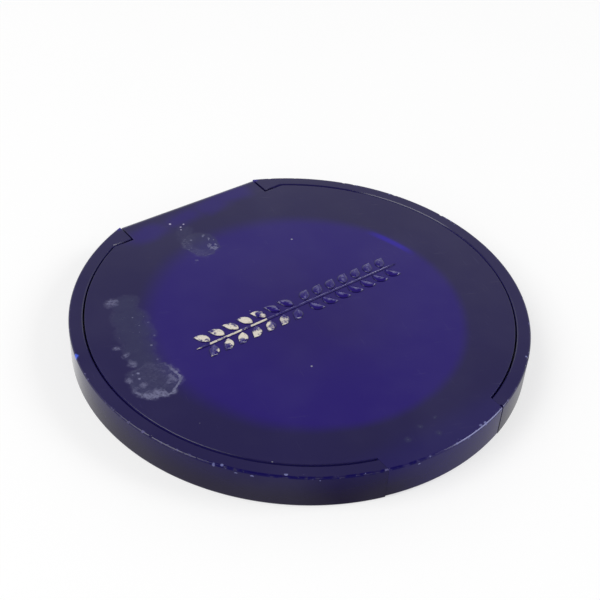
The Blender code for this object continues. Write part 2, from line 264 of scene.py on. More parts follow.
def with_chamfered_ends(outline, places, edge):
    """(place, outline) sections along an axis, with a chamfer of size edge on the first and the last."""
    if not edge:
        return [(place, outline) for place in places]
    small = inset(outline, edge)
    first, last = places[0], places[-1]
    middle = [(place, outline) for place in (first + edge, *places[1:-1], last - edge)]
    return [(first, small), *middle, (last, small)]


def across(outline, half, edge=0.1):
    """A closed bmesh of a (y, z) outline drawn out along X."""
    sections = with_chamfered_ends(outline, (-half, half), edge)
    return skinned([[(x, y, z) for y, z in section] for x, section in sections])


def round_the_front(outline, half, steps=48, edge=0.0):
    """A closed bmesh of a (radius, z) outline that follows the casing's front, from x = -half to half."""
    sections = with_chamfered_ends(outline, [half * (2 * i / steps - 1) for i in range(steps + 1)], edge)
    return skinned([[(x, -math.sqrt(r * r - x * x), z) for r, z in section] for x, section in sections])


def clipped_disc(radius, back_y, z, steps=ROUND_STEPS):
    """A circle whose back is cut straight at y = back_y, as a loop of points at height z."""
    start = math.asin(back_y / radius)
    sweep = math.pi + 2 * start
    angles = [start - sweep * i / steps for i in range(steps + 1)]
    return [(radius * math.cos(a), radius * math.sin(a), z) for a in angles]


def along_x(sections, steps=48):
    """A closed bmesh of a turned rod on the hinge's axis, through the given (x, radius)."""
    return skinned([[(x, HINGE.y + r * c, HINGE.z + r * s) for c, s in circle(steps)] for x, r in sections])


def arc(centre, radius, start, end, steps):
    angles = [math.radians(start + (end - start) * i / steps) for i in range(steps + 1)]
    return [(centre[0] + radius * math.cos(a), centre[1] + radius * math.sin(a)) for a in angles]


def gathered(parts):
    """One bmesh that holds several separate closed ones."""
    whole = bmesh.new()
    for part in parts:
        mesh = bpy.data.meshes.new("part")
        part.to_mesh(mesh)
        part.free()
        whole.from_mesh(mesh)
        bpy.data.meshes.remove(mesh)
    return whole


# ---------------------------------------------------------------- base


def bead(root, crest, z, height):
    """Section of a low rounded catch bead on a wall, anticlockwise."""
    half = height / 2
    shape = [(root, z - half), (crest, z - half / 3), (crest, z + half / 3), (root, z + half)]
    return shape if crest > root else shape[::-1]


def edge_nicks():
    """Small balls centred just outside the top outer edge. They bite out the nicks of years in a bag."""
    chance = random.Random(7)
    balls = []
    degrees = -178.0
    while degrees < 60:
        degrees += chance.uniform(2.5, 9.0)
        turn = math.radians(degrees)
        size = chance.uniform(0.2, 0.5)
        reach = OUTER_R - 0.05 + size * 0.45
        bm = bmesh.new()
        bmesh.ops.create_icosphere(bm, subdivisions=2, radius=size * MM)
        squash = [chance.uniform(low, high) for low, high in ((0.8, 1.6), (0.8, 1.4), (0.5, 1.0))]
        place = at(reach * math.cos(turn), reach * math.sin(turn), HEIGHT - 0.06 + size * 0.3)
        placed = Matrix.Translation(place) @ Matrix.Diagonal((*squash, 1))
        bmesh.ops.transform(bm, matrix=placed, verts=bm.verts)
        balls.append(bm)
    return gathered(balls)


def tab_side_gap():
    """Upright slot to the right of the tab, because the lid sits a hair to the left and that seam gapes."""
    near, far = TAB_HALF, TAB_HALF + TAB_WALL_GAP
    front = -OUTER_R - CUT_PAST
    plan = [(near, front), (far, front), (far, TAB_SLOT_Y), (near, TAB_SLOT_Y)]
    return skinned([[(x, y, z) for x, y in plan] for z in (-CUT_PAST, HEIGHT + CUT_PAST)])


def cut_outline(start, shelf_top, wall):
    """Outline of a cut from a start outwards: down to a shelf, and right through from the wall on."""
    past, above = OUTER_R + CUT_PAST, HEIGHT + CUT_PAST
    shelf = [(start, shelf_top), (wall, shelf_top), (wall, -CUT_PAST)]
    return [*shelf, (past, -CUT_PAST), (past, above), (start, above)]


def pin_bores(start, end):
    """The two bores for the hinge pins, between two distances from the middle."""
    return [along_x([(low, PIN_BORE_R), (high, PIN_BORE_R)]) for low, high in ((start, end), (-end, -start))]


def base_shell():
    """Floor, rim and ears in one moulding, open in front for the lid's tab and behind for its knuckle."""
    c, within = OUTER_ROUNDING, OUTER_R - 2
    outside = rounded([(within, 0), (OUTER_R, 0, c), (OUTER_R, HEIGHT, c), (within, HEIGHT)], steps=5)
    lip = [(RIM_INNER_R, HEIGHT - RIM_CHAMFER), (RIM_INNER_R + 1.2 * RIM_CHAMFER, HEIGHT)]
    sections = [(RIM_INNER_R, LEDGE_TOP), *lip, (RIM_INNER_R + 1, HEIGHT + 1)]
    pocket = [clipped_disc(r, EAR_FRONT_Y + r - RIM_INNER_R, z, 351) for r, z in sections]
    cavity = [clipped_disc(LEDGE_R, CAVITY_BACK_Y, z, 343) for z in (FLOOR_TOP, LEDGE_TOP + 0.3)]
    notch = cut_outline(CAVITY_BACK_Y - 0.6, HINGE_SHELF_TOP, HINGE_SHELF_BACK_Y)
    opening = cut_outline(RIM_INNER_R - 1.2, FRONT_WALL_TOP, FRONT_WALL_R)
    catch = bead(FRONT_WALL_R - 0.4, FRONT_WALL_R + 0.15, 2.6, 0.6)
    cuts = [
        skinned(pocket),
        skinned(cavity),
        across(notch, HINGE_NOTCH_HALF, edge=0),
        round_the_front(opening, TAB_HALF + TAB_GAP),
        tab_side_gap(),
        turned([(LABEL_RECESS_R, -1), (LABEL_RECESS_R, LABEL_RECESS)], steps=200),
        *pin_bores(HINGE_NOTCH_HALF - 1, OUTER_R),
    ]
    steps = [("DIFFERENCE", cut) for cut in cuts]
    steps += [("UNION", round_the_front(catch, BEAD_HALF, 21, 0.05)), ("DIFFERENCE", edge_nicks())]
    return smooth(carved("compact_base", turned(outside), *steps), angle=25)


# ---------------------------------------------------------------- lid


def knuckle_outline():
    """Hinge barrel in side view: round under the pin, square to the back, with a rounded heel above it."""
    front, back = HINGE.y - KNUCKLE_R, HINGE.y + KNUCKLE_R
    in_plate = LID_BACK_Y - 1.5
    barrel = arc((HINGE.y, HINGE.z), KNUCKLE_R, -180, 0, 30)
    root = [(in_plate, LID_UNDER), (front, LID_UNDER)]
    heel = [(back, HEIGHT, KNUCKLE_HEEL), (in_plate, HEIGHT)]
    return rounded([*root, *barrel, *heel], steps=8)


def tab_outline():
    """Front tab in section: it carries on from the lid's plate, then turns down as the front wall."""
    c = OUTER_ROUNDING
    in_plate = LID_R - 1.3
    corners = [
        (in_plate, LID_UNDER),
        (TAB_INNER_R, LID_UNDER),
        (TAB_INNER_R, TAB_BOTTOM),
        (OUTER_R, TAB_BOTTOM, c),
        (OUTER_R, HEIGHT, c),
        (in_plate, HEIGHT),
    ]
    return rounded(corners, steps=5)


def lid_shell():
    """Flush plate, hinge knuckle, front tab with its catch bead, and the collar that holds the mirror."""
    top = arc((0, HEIGHT - LID_ROUNDING), LID_ROUNDING, 0, 84, 4)
    sections = [(-LID_DRAFT, LID_UNDER), (0, HEIGHT - 0.5)]
    sections += [(shift - LID_ROUNDING, z) for shift, z in top]
    plate = [clipped_disc(LID_R + shift, LID_BACK_Y + shift, z) for shift, z in sections]
    root, end = LID_UNDER + 0.2, MIRROR_LOW.z - 0.05
    inner = [(COLLAR_INNER_R, root), (COLLAR_INNER_R, end, 0.15)]
    collar = rounded([*inner, (COLLAR_OUTER_R, end, 0.25), (COLLAR_OUTER_R, root)])
    catch = bead(TAB_INNER_R + 0.4, TAB_INNER_R - 0.2, 1.7, 0.6)
    added = [
        across(knuckle_outline(), KNUCKLE_HALF),
        round_the_front(tab_outline(), TAB_HALF),
        ring(collar, WELL_Y, 240),
        round_the_front(catch, BEAD_HALF, 21, 0.05),
    ]
    relief_for_ears = along_x([(-EAR_RELIEF_HALF, EAR_RELIEF_R), (EAR_RELIEF_HALF, EAR_RELIEF_R)], 96)
    steps = [("DIFFERENCE", relief_for_ears)]
    steps += [("UNION", piece) for piece in added]
    steps += [("DIFFERENCE", bore) for bore in pin_bores(PIN_LOW.x - 0.3, KNUCKLE_HALF + 1)]
    return smooth(carved("compact_lid", skinned(plate), *steps))


LEAF_PAIRS = 7
LEAF_LENGTH = 3.0
LEAF_WIDTH = 1.7
LEAF_TILT = math.radians(50)
LEAF_FIRST_X = 1.4
STEM_HALF_WIDTH = 0.24


def relief(centre_line, half_widths):
    """A raised stroke along a line of (x, y), with a low side and a keel along its middle."""
    root, top = HEIGHT - 0.1, HEIGHT + SPRIG_RISE
    slope = [(-1.0, root), (-1.0, HEIGHT + 0.09), (-0.93, HEIGHT + 0.13), (-0.14, top - 0.02), (-0.05, top)]
    section = slope + [(-s, z) for s, z in reversed(slope)]
    loops = []
    for i, (x, y) in enumerate(centre_line):
        before = Vector(centre_line[max(i - 1, 0)])
        after = Vector(centre_line[min(i + 1, len(centre_line) - 1)])
        along = (after - before).normalized()
        width = half_widths[i]
        rise = 0.4 + 0.6 * min(1.0, width / (0.4 * max(half_widths)))
        to_x, to_y = -along.y * width, along.x * width
        loops.append([(x + to_x * s, y + to_y * s, root + (z - root) * rise) for s, z in section])
    return skinned(loops)


def leaf(x, up, side):
    """One leaf of the sprig: a curved lens shape that leans outwards from the stem."""
    tilt = LEAF_TILT if side > 0 else math.pi - LEAF_TILT
    steps = 14
    shares = [i / steps for i in range(steps + 1)]
    line = []
    for t in shares:
        bend = 0.35 * math.sin(math.pi * t) * side * up
        u = LEAF_LENGTH * t
        local_x = u * math.cos(up * tilt) - bend * math.sin(up * tilt)
        local_y = u * math.sin(up * tilt) + bend * math.cos(up * tilt)
        line.append((x + local_x, up * (STEM_HALF_WIDTH + 0.3) + local_y))
    widths = [0.06 + LEAF_WIDTH / 2 * math.sin(math.pi * t**0.85) for t in shares]
    return relief(line, widths)


def leaf_sprig():
    """Raised ornament across the lid: a straight stem with pairs of leaves that point to its two ends."""
    steps = 60
    shares = [2 * i / steps - 1 for i in range(steps + 1)]
    stem = [(SPRIG_HALF * s, 0) for s in shares]
    widths = [0.05 + (STEM_HALF_WIDTH - 0.05) * min(1, 12 * (1 - abs(s))) for s in shares]
    parts = [relief(stem, widths)]
    pitch = (SPRIG_HALF - LEAF_FIRST_X - LEAF_LENGTH) / (LEAF_PAIRS - 1)
    for side in (-1, 1):
        for k in range(LEAF_PAIRS):
            for up in (-1, 1):
                parts.append(leaf(side * (LEAF_FIRST_X + pitch * k), up, side))
    return smooth(mesh_object("lid_sprig", gathered(parts)), angle=25)


def mirror_glass():
    """Round glass with a polished bevel towards the face."""
    r, face = MIRROR_R, MIRROR_LOW.z
    profile = [(r - 0.7, face), (r - 0.05, face + 0.22), (r, face + 0.3), (r, MIRROR_HIGH.z)]
    return smooth(mesh_object("mirror_glass", turned(profile, WELL_Y)), angle=8)


# ---------------------------------------------------------------- contents


def inner_deck():
    """Flat surround of the powder well, with a thumb scoop at the well's front."""
    radius, back_y, top = DECK_HIGH
    sections = [(0, DECK_UNDER), *arc((-0.25, top - 0.25), 0.25, 0, 86, 4)]
    plate = [clipped_disc(radius + shift, back_y + shift, z, 341) for shift, z in sections]
    mouth = arc((WELL_R + 0.2, top - 0.2), 0.2, 180, 100, 4)
    well = [(WELL_R, 0), *mouth, (WELL_R + 1, top + 1)]
    ball = bmesh.new()
    bmesh.ops.create_uvsphere(ball, u_segments=180, v_segments=180, radius=SCOOP_R * MM)
    bmesh.ops.translate(ball, verts=ball.verts, vec=at(0, WELL_Y - WELL_R, top + SCOOP_R - SCOOP_DEPTH))
    wall = [(WELL_R + WELL_WALL, z) for z in (DECK_LOW.z, DECK_UNDER + 0.4)]
    steps = [("UNION", turned(wall, WELL_Y, 320))]
    steps += [("DIFFERENCE", cut) for cut in (turned(well, WELL_Y, 300), ball)]
    return smooth(carved("powder_well_deck", skinned(plate), *steps))


def powder_pan():
    """Pressed aluminium dish with a rounded bottom corner and a rolled lip."""
    r, low, high = PAN_HIGH.x, PAN_LOW.z, PAN_HIGH.z
    t, corner = 0.3, 0.6
    outer = arc((r - corner, low + corner), corner, -90, 0, 8)
    lip = arc((r - t / 2, high - t / 2), t / 2, 0, 180, 8)
    inner = arc((r - corner, low + corner), corner - t, 0, -90, 8)
    return smooth(mesh_object("metal_pan", turned([*outer, *lip, *inner], WELL_Y, 240)))


POWDER_EDGE_TOP = 2.33
POWDER_CROWN = 0.9 * (POWDER_HIGH.z - 2.4)
ROSETTE_PETALS = 12
ROSETTE_R = 12
WORN_AT = (4, -5)
WORN_DEPTH = 0.09
# Pressed rings, as (radius, half width, depth)
POWDER_RINGS = [(22, 0.5, 0.08), (23.6, 0.3, 0.05)]


def powder_height(x, y, radius):
    """Top of the cake at a point: a low crown, a pressed rosette in a ring, and a dip worn by the puff."""
    r = math.hypot(x, y)
    turn = math.atan2(y, x)
    crown = POWDER_CROWN * (1 - (r / radius) ** 2)
    petals = 0.5 + 0.5 * math.cos(ROSETTE_PETALS * turn)
    rosette = 0.07 * petals * math.exp(-(((r - ROSETTE_R) / 6) ** 2))
    grooves = sum(depth * math.exp(-(((r - middle) / half) ** 2)) for middle, half, depth in POWDER_RINGS)
    worn = math.exp(-((x - WORN_AT[0]) ** 2 + (y - WORN_AT[1]) ** 2) / 60)
    return POWDER_EDGE_TOP + crown + (rosette - grooves) * (1 - worn) - WORN_DEPTH * worn


def pressed_powder():
    """Cake of powder as a fine polar grid on top of a plain underside."""
    radius, low = POWDER_HIGH.x, POWDER_LOW.z
    around = circle(288)
    loops = [[(r * c, r * s, z) for c, s in around] for r, z in ((radius - 0.6, low), (radius, low + 0.6))]
    rings = 90
    for k in range(rings):
        r = radius * (1 - k / rings)
        loops.append([(r * c, r * s, powder_height(r * c, r * s, radius)) for c, s in around])
    moved = [[(x, y + WELL_Y, z) for x, y, z in loop] for loop in loops]
    return smooth(mesh_object("powder_cake", skinned(moved)), angle=60)


def separator_film():
    """Clear disc over the powder, with a half-moon notch at the front to lift it by."""
    radius, half, depth = FILM_HIGH.x, FILM_NOTCH_HALF, FILM_NOTCH_DEPTH
    start = -math.pi / 2 + math.asin(half / radius)
    sweep = 2 * math.pi - 2 * (start + math.pi / 2)
    rim = [start + sweep * i / 240 for i in range(241)]
    outline = [(radius * math.cos(a), radius * math.sin(a)) for a in rim]
    mouth_y = radius * math.sin(start)
    notch = np.linspace(math.pi, 0, 20)[1:-1]
    outline += [(half * math.cos(a), mouth_y + depth * math.sin(a)) for a in notch]
    loops = [[(x, y + WELL_Y, z) for x, y in outline] for z in (FILM_LOW.z, FILM_HIGH.z)]
    return smooth(mesh_object("clear_separator", skinned(loops)))


PUFF_SIM_SCALE = 10  # the cloth is simulated ten times as large, where the solver's defaults suit it
PUFF_SWELL = 0.16
PUFF_FRAMES = 20
PUFF_PRESSURE = 4.0
PUFF_VOXEL = 0.0058
PUFF_SEAM_R = PUFF_HIGH.x - 1.0
SEAM_DEPTH = 0.16
SEAM_STITCHES = 96
UNEVEN = 0.07
RIB_PITCH = 0.9
RIB_HEIGHT = 0.035


def pillow(radius, low, high, seam):
    """Blank of the puff: two flat faces that close in a rounded, slightly pinched seam."""
    middle, half = (low + high) / 2, (high - low) / 2
    under = arc((radius - 0.5, middle), 0.5, -90, 0, 6)
    edge = [(r, middle + (z - middle) / 0.5 * half) for r, z in under]
    upper = [(r, 2 * middle - z) for r, z in reversed(edge)]
    pinch = [(radius - 0.5 - 0.8, low), (radius - 0.5 - 0.4, low + seam)]
    pinch_over = [(r, 2 * middle - z) for r, z in reversed(pinch)]
    return turned([*pinch, *edge, *upper[1:], *pinch_over], steps=180)


def swell(target, limit):
    """Inflates a closed mesh a little with a cloth simulation, and keeps every point near where it began."""
    start = np.array([v.co for v in target.data.vertices])
    cloth = target.modifiers.new("cloth", "CLOTH")
    cloth.settings.use_pressure = True
    cloth.settings.uniform_pressure_force = PUFF_PRESSURE
    cloth.settings.effector_weights.gravity = 0.0
    cloth.settings.quality = 5
    cloth.point_cache.frame_start = 1
    cloth.point_cache.frame_end = PUFF_FRAMES
    for number in range(1, PUFF_FRAMES + 1):
        bpy.context.scene.frame_set(number)
    apply_modifiers(target)
    bpy.context.scene.frame_set(1)
    moved = np.array([v.co for v in target.data.vertices])
    shift = moved - start
    far = np.linalg.norm(shift, axis=1, keepdims=True)
    shift *= np.minimum(1.0, limit / np.maximum(far, 1e-9))
    target.data.vertices.foreach_set("co", (start + shift).astype(np.float32).ravel())


def sew(mesh):
    """Draws in the seam just inside the puff's edge, stitch by stitch, and makes its faces uneven."""
    middle, half = (PUFF_LOW.z + PUFF_HIGH.z) / 2, (PUFF_HIGH.z - PUFF_LOW.z) / 2
    for vertex in mesh.vertices:
        x, y, z = vertex.co / MM
        r = math.hypot(x, y - WELL_Y)
        turn = math.atan2(y - WELL_Y, x)
        stitch = 0.7 + 0.3 * math.cos(SEAM_STITCHES * turn)
        drawn_in = SEAM_DEPTH * stitch * math.exp(-(((r - PUFF_SEAM_R) / 0.4) ** 2))
        uneven = UNEVEN * (0.5 + 0.5 * noise.noise(Vector((x, y, z)) / 5.0))
        thickness = min(half, abs(z - middle)) - (drawn_in + uneven if abs(z - middle) > 0.2 else 0)
        vertex.co.z = (middle + math.copysign(thickness, z - middle)) * MM


def powder_puff():
    """Thin velour puff: a cloth blank, swollen by simulation, inside the space of its CAD solid."""
    radius = PUFF_HIGH.x - PUFF_SWELL
    low, high = PUFF_LOW.z + PUFF_SWELL, PUFF_HIGH.z - PUFF_SWELL
    puff = mesh_object("velour_puff", pillow(radius, low, high, seam=0.12))
    puff.data.transform(Matrix.Scale(PUFF_SIM_SCALE, 4))
    remesh = puff.modifiers.new("remesh", "REMESH")
    remesh.mode = "VOXEL"
    remesh.voxel_size = PUFF_VOXEL
    apply_modifiers(puff)
    swell(puff, PUFF_SWELL * MM * PUFF_SIM_SCALE)
    puff.data.transform(Matrix.Scale(1 / PUFF_SIM_SCALE, 4))
    puff.data.transform(Matrix.Translation(at(0, WELL_Y, 0)))
    puff.modifiers.new("subdivision", "SUBSURF").levels = 1
    apply_modifiers(puff)
    sew(puff.data)
    puff.data.shade_smooth()
    return puff


def puff_ribbon():
    """Ribbed ribbon across the puff, with woven edges. Its ends dip into the puff's seam, as if sewn in."""
    half_width, low, high = (RIBBON_HIGH.y - RIBBON_LOW.y) / 2, RIBBON_LOW.z, RIBBON_HIGH.z
    ribs = round(2 * PUFF_SEAM_R / RIB_PITCH)
    steps = 6 * ribs
    columns = 25
    loops = []
    for i in range(steps + 1):
        along = 2 * i / steps - 1
        top, under = [], []
        for k in range(columns):
            side = 2 * k / (columns - 1) - 1
            y = half_width * side * (1 - 0.02 * math.cos(7 * along))
            end = math.sqrt(PUFF_SEAM_R**2 - y * y)
            x = end * along
            dip = SEAM_DEPTH * math.exp(-(((end - abs(x)) / 0.5) ** 2))
            selvedge = 1.0 if abs(side) > 0.9 else 0.0
            rib = 0.5 + 0.5 * math.cos(math.pi * ribs * along)
            lift = RIB_HEIGHT * (rib * (1 - selvedge) + selvedge)
            wave = 0.012 * math.sin(0.9 * x + 2.5 * side) * math.cos(1.7 * side)
            top.append((x, y + WELL_Y, high - RIB_HEIGHT + lift - dip + wave))
            under.append((x, y + WELL_Y, low - dip + wave))
        loops.append(under + top[::-1])
    return smooth(mesh_object("satin_ribbon", skinned(loops)), angle=50)


def base_label():
    """Blank round label in the recess under the base."""
    low, high = LABEL_LOW.z, LABEL_HIGH.z
    r = LABEL_HIGH.x
    profile = [(r - 0.03, low), (r, low + 0.03), (r, high)]
    return smooth(mesh_object("blank_label", turned(profile, steps=240)))


def hinge_pin(name, side):
    """Steel pin with domed ends and a straight knurl where it grips the ear."""
    low, high = PIN_LOW.x, PIN_HIGH.x
    grip = HINGE_NOTCH_HALF + 0.6
    sections = [(low, 0.5), (low + 0.06, 0.62), (low + 0.2, PIN_R), (grip, PIN_R), (grip + 0.1, PIN_R)]
    sections += [(high - 0.35, PIN_R), (high - 0.3, PIN_R), (high - 0.06, 0.62), (high, 0.5)]
    knurled = (4, 5)
    around = circle(72)
    loops = []
    for k, (x, r) in enumerate(sections):
        radii = [r - (KNURL_DEPTH if k in knurled and i % 3 == 0 else 0) for i in range(len(around))]
        loop = [(side * x, HINGE.y + r * c, HINGE.z + r * s) for r, (c, s) in zip(radii, around)]
        loops.append(loop)
    return smooth(mesh_object(name, skinned(loops)))


# ---------------------------------------------------------------- node helpers


class Value:
    """What a node puts out. Arithmetic on it adds nodes. Of masks, | is the larger one and ~ the inverse."""

    def __init__(self, nodes, socket):
        self.nodes = nodes
        self.socket = socket

    def __add__(self, other):
        return self.nodes.math("ADD", self, other)

    def __sub__(self, other):
        return self.nodes.math("SUBTRACT", self, other)

    def __mul__(self, other):
        return self.nodes.math("MULTIPLY", self, other)

    def __or__(self, other):
        return self.nodes.math("MAXIMUM", self, other)

    def __invert__(self):
        return self.nodes.math("SUBTRACT", 1.0, self, clamp=True)


class Nodes:
    """A short way to write a node tree. Most methods add a node and return a Value."""

    def __init__(self, tree):
        self.tree = tree

    def add(self, kind, **settings):
        node = self.tree.nodes.new(kind)
        for name, value in settings.items():
            setattr(node, name, value)
        return node

    def plug(self, socket, value):
        """Feeds a Value, a number, a vector or a colour into a socket."""
        if isinstance(value, Value):
            self.tree.links.new(value.socket, socket)
        elif socket.type == "RGBA":
            socket.default_value = (*value, 1.0)
        else:
            socket.default_value = value

    def made(self, kind, inputs=(), output=0, **settings):
        """Adds a node, feeds its inputs in order or by name, and returns one output."""
        node = self.add(kind, **settings)
        named = inputs if isinstance(inputs, dict) else dict(enumerate(inputs))
        for name, value in named.items():
            self.plug(node.inputs[name], value)
        return Value(self, node.outputs[output])

    def parts(self, vector):
        """The three numbers in a vector or a colour."""
        node = self.add("ShaderNodeSeparateXYZ")
        self.plug(node.inputs[0], vector)
        return [Value(self, output) for output in node.outputs]

    def math(self, operation, *values, clamp=False):
        return self.made("ShaderNodeMath", values, operation=operation, use_clamp=clamp)

    def vector(self, operation, *values):
        output = "Value" if operation in ("LENGTH", "DOT_PRODUCT") else "Vector"
        return self.made("ShaderNodeVectorMath", values, output, operation=operation)

    def blend(self, factor, first, second, data_type="FLOAT", **settings):
        """Blends two numbers."""
        node = self.add("ShaderNodeMix", data_type=data_type, **settings)
        wanted = "VALUE" if data_type == "FLOAT" else data_type
        ends = [socket for socket in node.inputs if socket.type == wanted][-2:]
        for socket, value in zip((node.inputs[0], *ends), (factor, first, second)):
            self.plug(socket, value)
        return Value(self, next(socket for socket in node.outputs if socket.type == wanted))

    def mix(self, factor, first, second, blend_type="MIX"):
        """Blends two colours."""
        return self.blend(factor, first, second, data_type="RGBA", blend_type=blend_type)


class Shader(Nodes):
    """A material whose patterns follow the object's own position, in mm."""

    def __init__(self, name):
        self.material = bpy.data.materials.new(name)
        self.material.use_nodes = True
        super().__init__(self.material.node_tree)
        self.position = self.scaled(self.made("ShaderNodeTexCoord", output="Object"), 1 / MM)
        self.x, self.y, self.z = self.parts(self.position)
        self.radius = self.distance((0, 0, 0), flat=True)

    def most(self, values):
        """The largest of several masks."""
        result, *others = values
        for value in others:
            result = result | value
        return result

    def scaled(self, vector, factor):
        factors = factor if isinstance(factor, tuple) else (factor, factor, factor)
        return self.vector("MULTIPLY", vector, factors)

    def turned(self, degrees):
        """The position, turned about Z."""
        inputs = {"Vector": self.position, "Angle": math.radians(degrees)}
        return self.made("ShaderNodeVectorRotate", inputs, rotation_type="Z_AXIS")

    def distance(self, centre, at=None, stretch=(1, 1, 1), flat=False):
        """How far the surface is from a point, with each axis stretched. Flat leaves height out."""
        offset = self.vector("SUBTRACT", at or self.position, centre)
        stretch = (stretch[0], stretch[1], 0 if flat else stretch[2])
        return self.vector("LENGTH", self.scaled(offset, stretch))

    def near(self, centre, full, none, **place):
        """1 up to the first distance from a point, 0 from the second."""
        return self.fade(self.distance(centre, **place), full, none)

    def noise(self, size, at=None, detail=3.0, roughness=0.5, output="Fac"):
        inputs = {"Vector": at or self.position, "Scale": 1 / size, "Detail": detail, "Roughness": roughness}
        return self.made("ShaderNodeTexNoise", inputs, output)

    def warped(self, size, amount, at=None):
        """The position, shaken by noise of a given size."""
        shake = self.vector("SUBTRACT", self.noise(size, at, detail=2.0, output="Color"), (0.5, 0.5, 0.5))
        return self.vector("ADD", at or self.position, self.scaled(shake, 2.0 * amount))

    def specks(self, spacing, size, share):
        """Round specks, one in some of the cells of a random grid."""
        cells = self.add("ShaderNodeTexVoronoi", feature="F1")
        self.plug(cells.inputs["Vector"], self.position)
        self.plug(cells.inputs["Scale"], 1 / spacing)
        distance, colour = (Value(self, cells.outputs[name]) for name in ("Distance", "Color"))
        lot, reach, _ = self.parts(colour)
        inside = self.ramp(reach * (size / spacing) - distance, 0.0, 0.25 * size / spacing)
        return self.math("LESS_THAN", lot, share) * inside

    def ramp(self, value, low, high):
        """0 up to low, 1 from high, smooth in between."""
        inputs = (value, low, high, 0.0, 1.0)
        return self.made("ShaderNodeMapRange", inputs, interpolation_type="SMOOTHSTEP")

    def fade(self, value, low, high):
        """1 up to low, 0 from high, smooth in between."""
        return ~self.ramp(value, low, high)

    def band(self, value, middle, half_width, softness):
        """1 around a middle value, 0 away from it."""
        away = self.math("ABSOLUTE", self.math("SUBTRACT", value, middle))
        return self.fade(away, half_width, half_width + softness)

    def painted(self, colour, *coats):
        """A colour under coats of (mask, colour), each over the one before."""
        for mask, coat in coats:
            colour = self.mix(mask, colour, coat)
        return colour

    def bump(self, height, depth):
        """Bump from a height of 0 to 1 that stands for a depth in mm."""
        return self.made("ShaderNodeBump", {"Height": height, "Distance": depth * MM})

    def finish(self, colour, roughness, normal=None, **others):
        """Feeds the surface, and returns the material. An input's name has _ for each space."""
        inputs = {"Base_Color": colour, "Roughness": roughness, **others}
        if normal:
            inputs["Normal"] = normal
        surface = self.tree.nodes["Principled BSDF"]
        for name, value in inputs.items():
            self.plug(surface.inputs[name.replace("_", " ")], value)
        return self.material


# ---------------------------------------------------------------- materials

PLASTIC = (0.0105, 0.006, 0.069)
PLASTIC_OVER_MIRROR = (0.0135, 0.0015, 0.152)
PLASTIC_MID_MIRROR = (0.0135, 0.0025, 0.122)
BLUE_GLOW_AND_PRINT = (0.0120, 0.006, 0.106)
PAINTED_BLUE_GLOW = (0.017, 0.002, 0.310)
# Painted glow in the groove: brighter blue, for light that leaks in through the plastic
PAINTED_GROOVE_GLOW = (0.036, 0.028, 0.200)
# Painted shade low on the outer wall
PAINTED_WALL_SHADE = (0.010, 0.006, 0.028)
PALE_WEAR_AND_HIGHLIGHT = (0.15, 0.14, 0.34)
PAINTED_EDGE_HIGHLIGHT = (0.27, 0.28, 0.52)
CHIP_LIGHT = (0.20, 0.21, 0.46)
CHIP_GLOW_BLUE = (0.06, 0.12, 0.75)
SMUDGE = (0.005, 0.0025, 0.075)
GLUE_FILM = (0.028, 0.030, 0.098)
GLUE_CRUST = (0.20, 0.20, 0.35)
PAINTED_GLINT = (0.48, 0.44, 0.66)
DUST = (0.50, 0.50, 0.56)
FOIL = (0.78, 0.72, 0.62)
POWDER = (0.72, 0.49, 0.34)
SILVER = (0.88, 0.90, 0.91)
STEEL = (0.56, 0.56, 0.58)
ALUMINIUM = (0.82, 0.82, 0.83)
FILM_TINT = (0.92, 0.94, 0.96)
PILE_LIGHT = (0.86, 0.74, 0.61)
PILE_DARK = (0.80, 0.68, 0.55)
PILE_ROOT = (0.60, 0.50, 0.39)
PILE_TIP = (0.92, 0.86, 0.78)
SEAM_SHADE = (0.40, 0.31, 0.23)
RIBBON_DARK = (0.014, 0.011, 0.060)
RIBBON_LIGHT = (0.024, 0.019, 0.095)
LABEL_DARK = (0.62, 0.62, 0.64)
LABEL_LIGHT = (0.72, 0.72, 0.74)
TAPE_LIGHT = (0.74, 0.70, 0.60)
TAPE_DARK = (0.62, 0.57, 0.46)

PLASTIC_IOR = 1.49
# How deep in the lid the mirror's back seems to lie, and where around the mirror the crescent of light is
MIRROR_DEPTH = 2.2
CRESCENT_TURN = math.radians(16.5)
TOWARDS_LIGHT_SIDE = (0.7, -0.7, 0)
WELL_CENTRE = (0, WELL_Y, 0)

# Old glue on the lid, each spot as (x, y, radius)
GLUE_TRAIL = [(-26.0, 16.8, 2.7), (-27.4, 13.2, 3.6), (-28.6, 9.6, 3.8)]
GLUE_TRAIL += [(-29.8, 6.0, 3.3), (-30.8, 2.8, 2.8)]
GLUE_NECK = [(-5.9, 29.9, 2.0), (-6.7, 27.4, 2.0)]
GLUE_LUMPS = [(-28.2, 18.5, 1.3), (-33.2, 7.5, 0.7), (-32.6, 5.3, 0.9), (-32.8, 3.1, 0.9)]
GLUE_LUMPS += [(-35.2, -0.4, 0.9), (-33.6, -2.6, 0.8), (-9.0, 20.6, 0.35)]
GLUE_SPECKS = [(-33.2, 0.4, 0.3), (-33.7, -0.8, 0.25)]
GLUE_BEADS = [(-3.9, 22.5, 0.75), (-4.3, 23.7, 0.45), (-3.1, 23.4, 0.35)]
GLUE_BEADS += [(-3.3, 25.4, 0.35), (-3.6, 26.8, 0.3)]
# Painted glints on the glue by the hinge, as (x, y, radius)
HINGE_GLINTS = [(-6.9, 33.5, 0.26), (-5.7, 31.6, 0.24), (-4.7, 32.1, 0.22), (-6.1, 30.8, 0.16)]
TAB_MARKS = [(-5.6, -36.0, 0.7), (-2.1, -34.9, 0.5), (-0.5, -37.6, 0.6), (1.3, -34.7, 0.4)]
GLUE_RING = (-31.7, -2.4, 4.0)
GLUE_OVAL = (-5.4, 24.8, 3.7)
RIM_CHIP = (-39.8, 9.8, HEIGHT)

# Battered stretches of the top outer edge, as (x, y, reach)
BATTERED_EDGES = [(36.0, 19.6, 24.0), (-19.0, -36.3, 26.0), (18.0, -36.8, 16.0)]
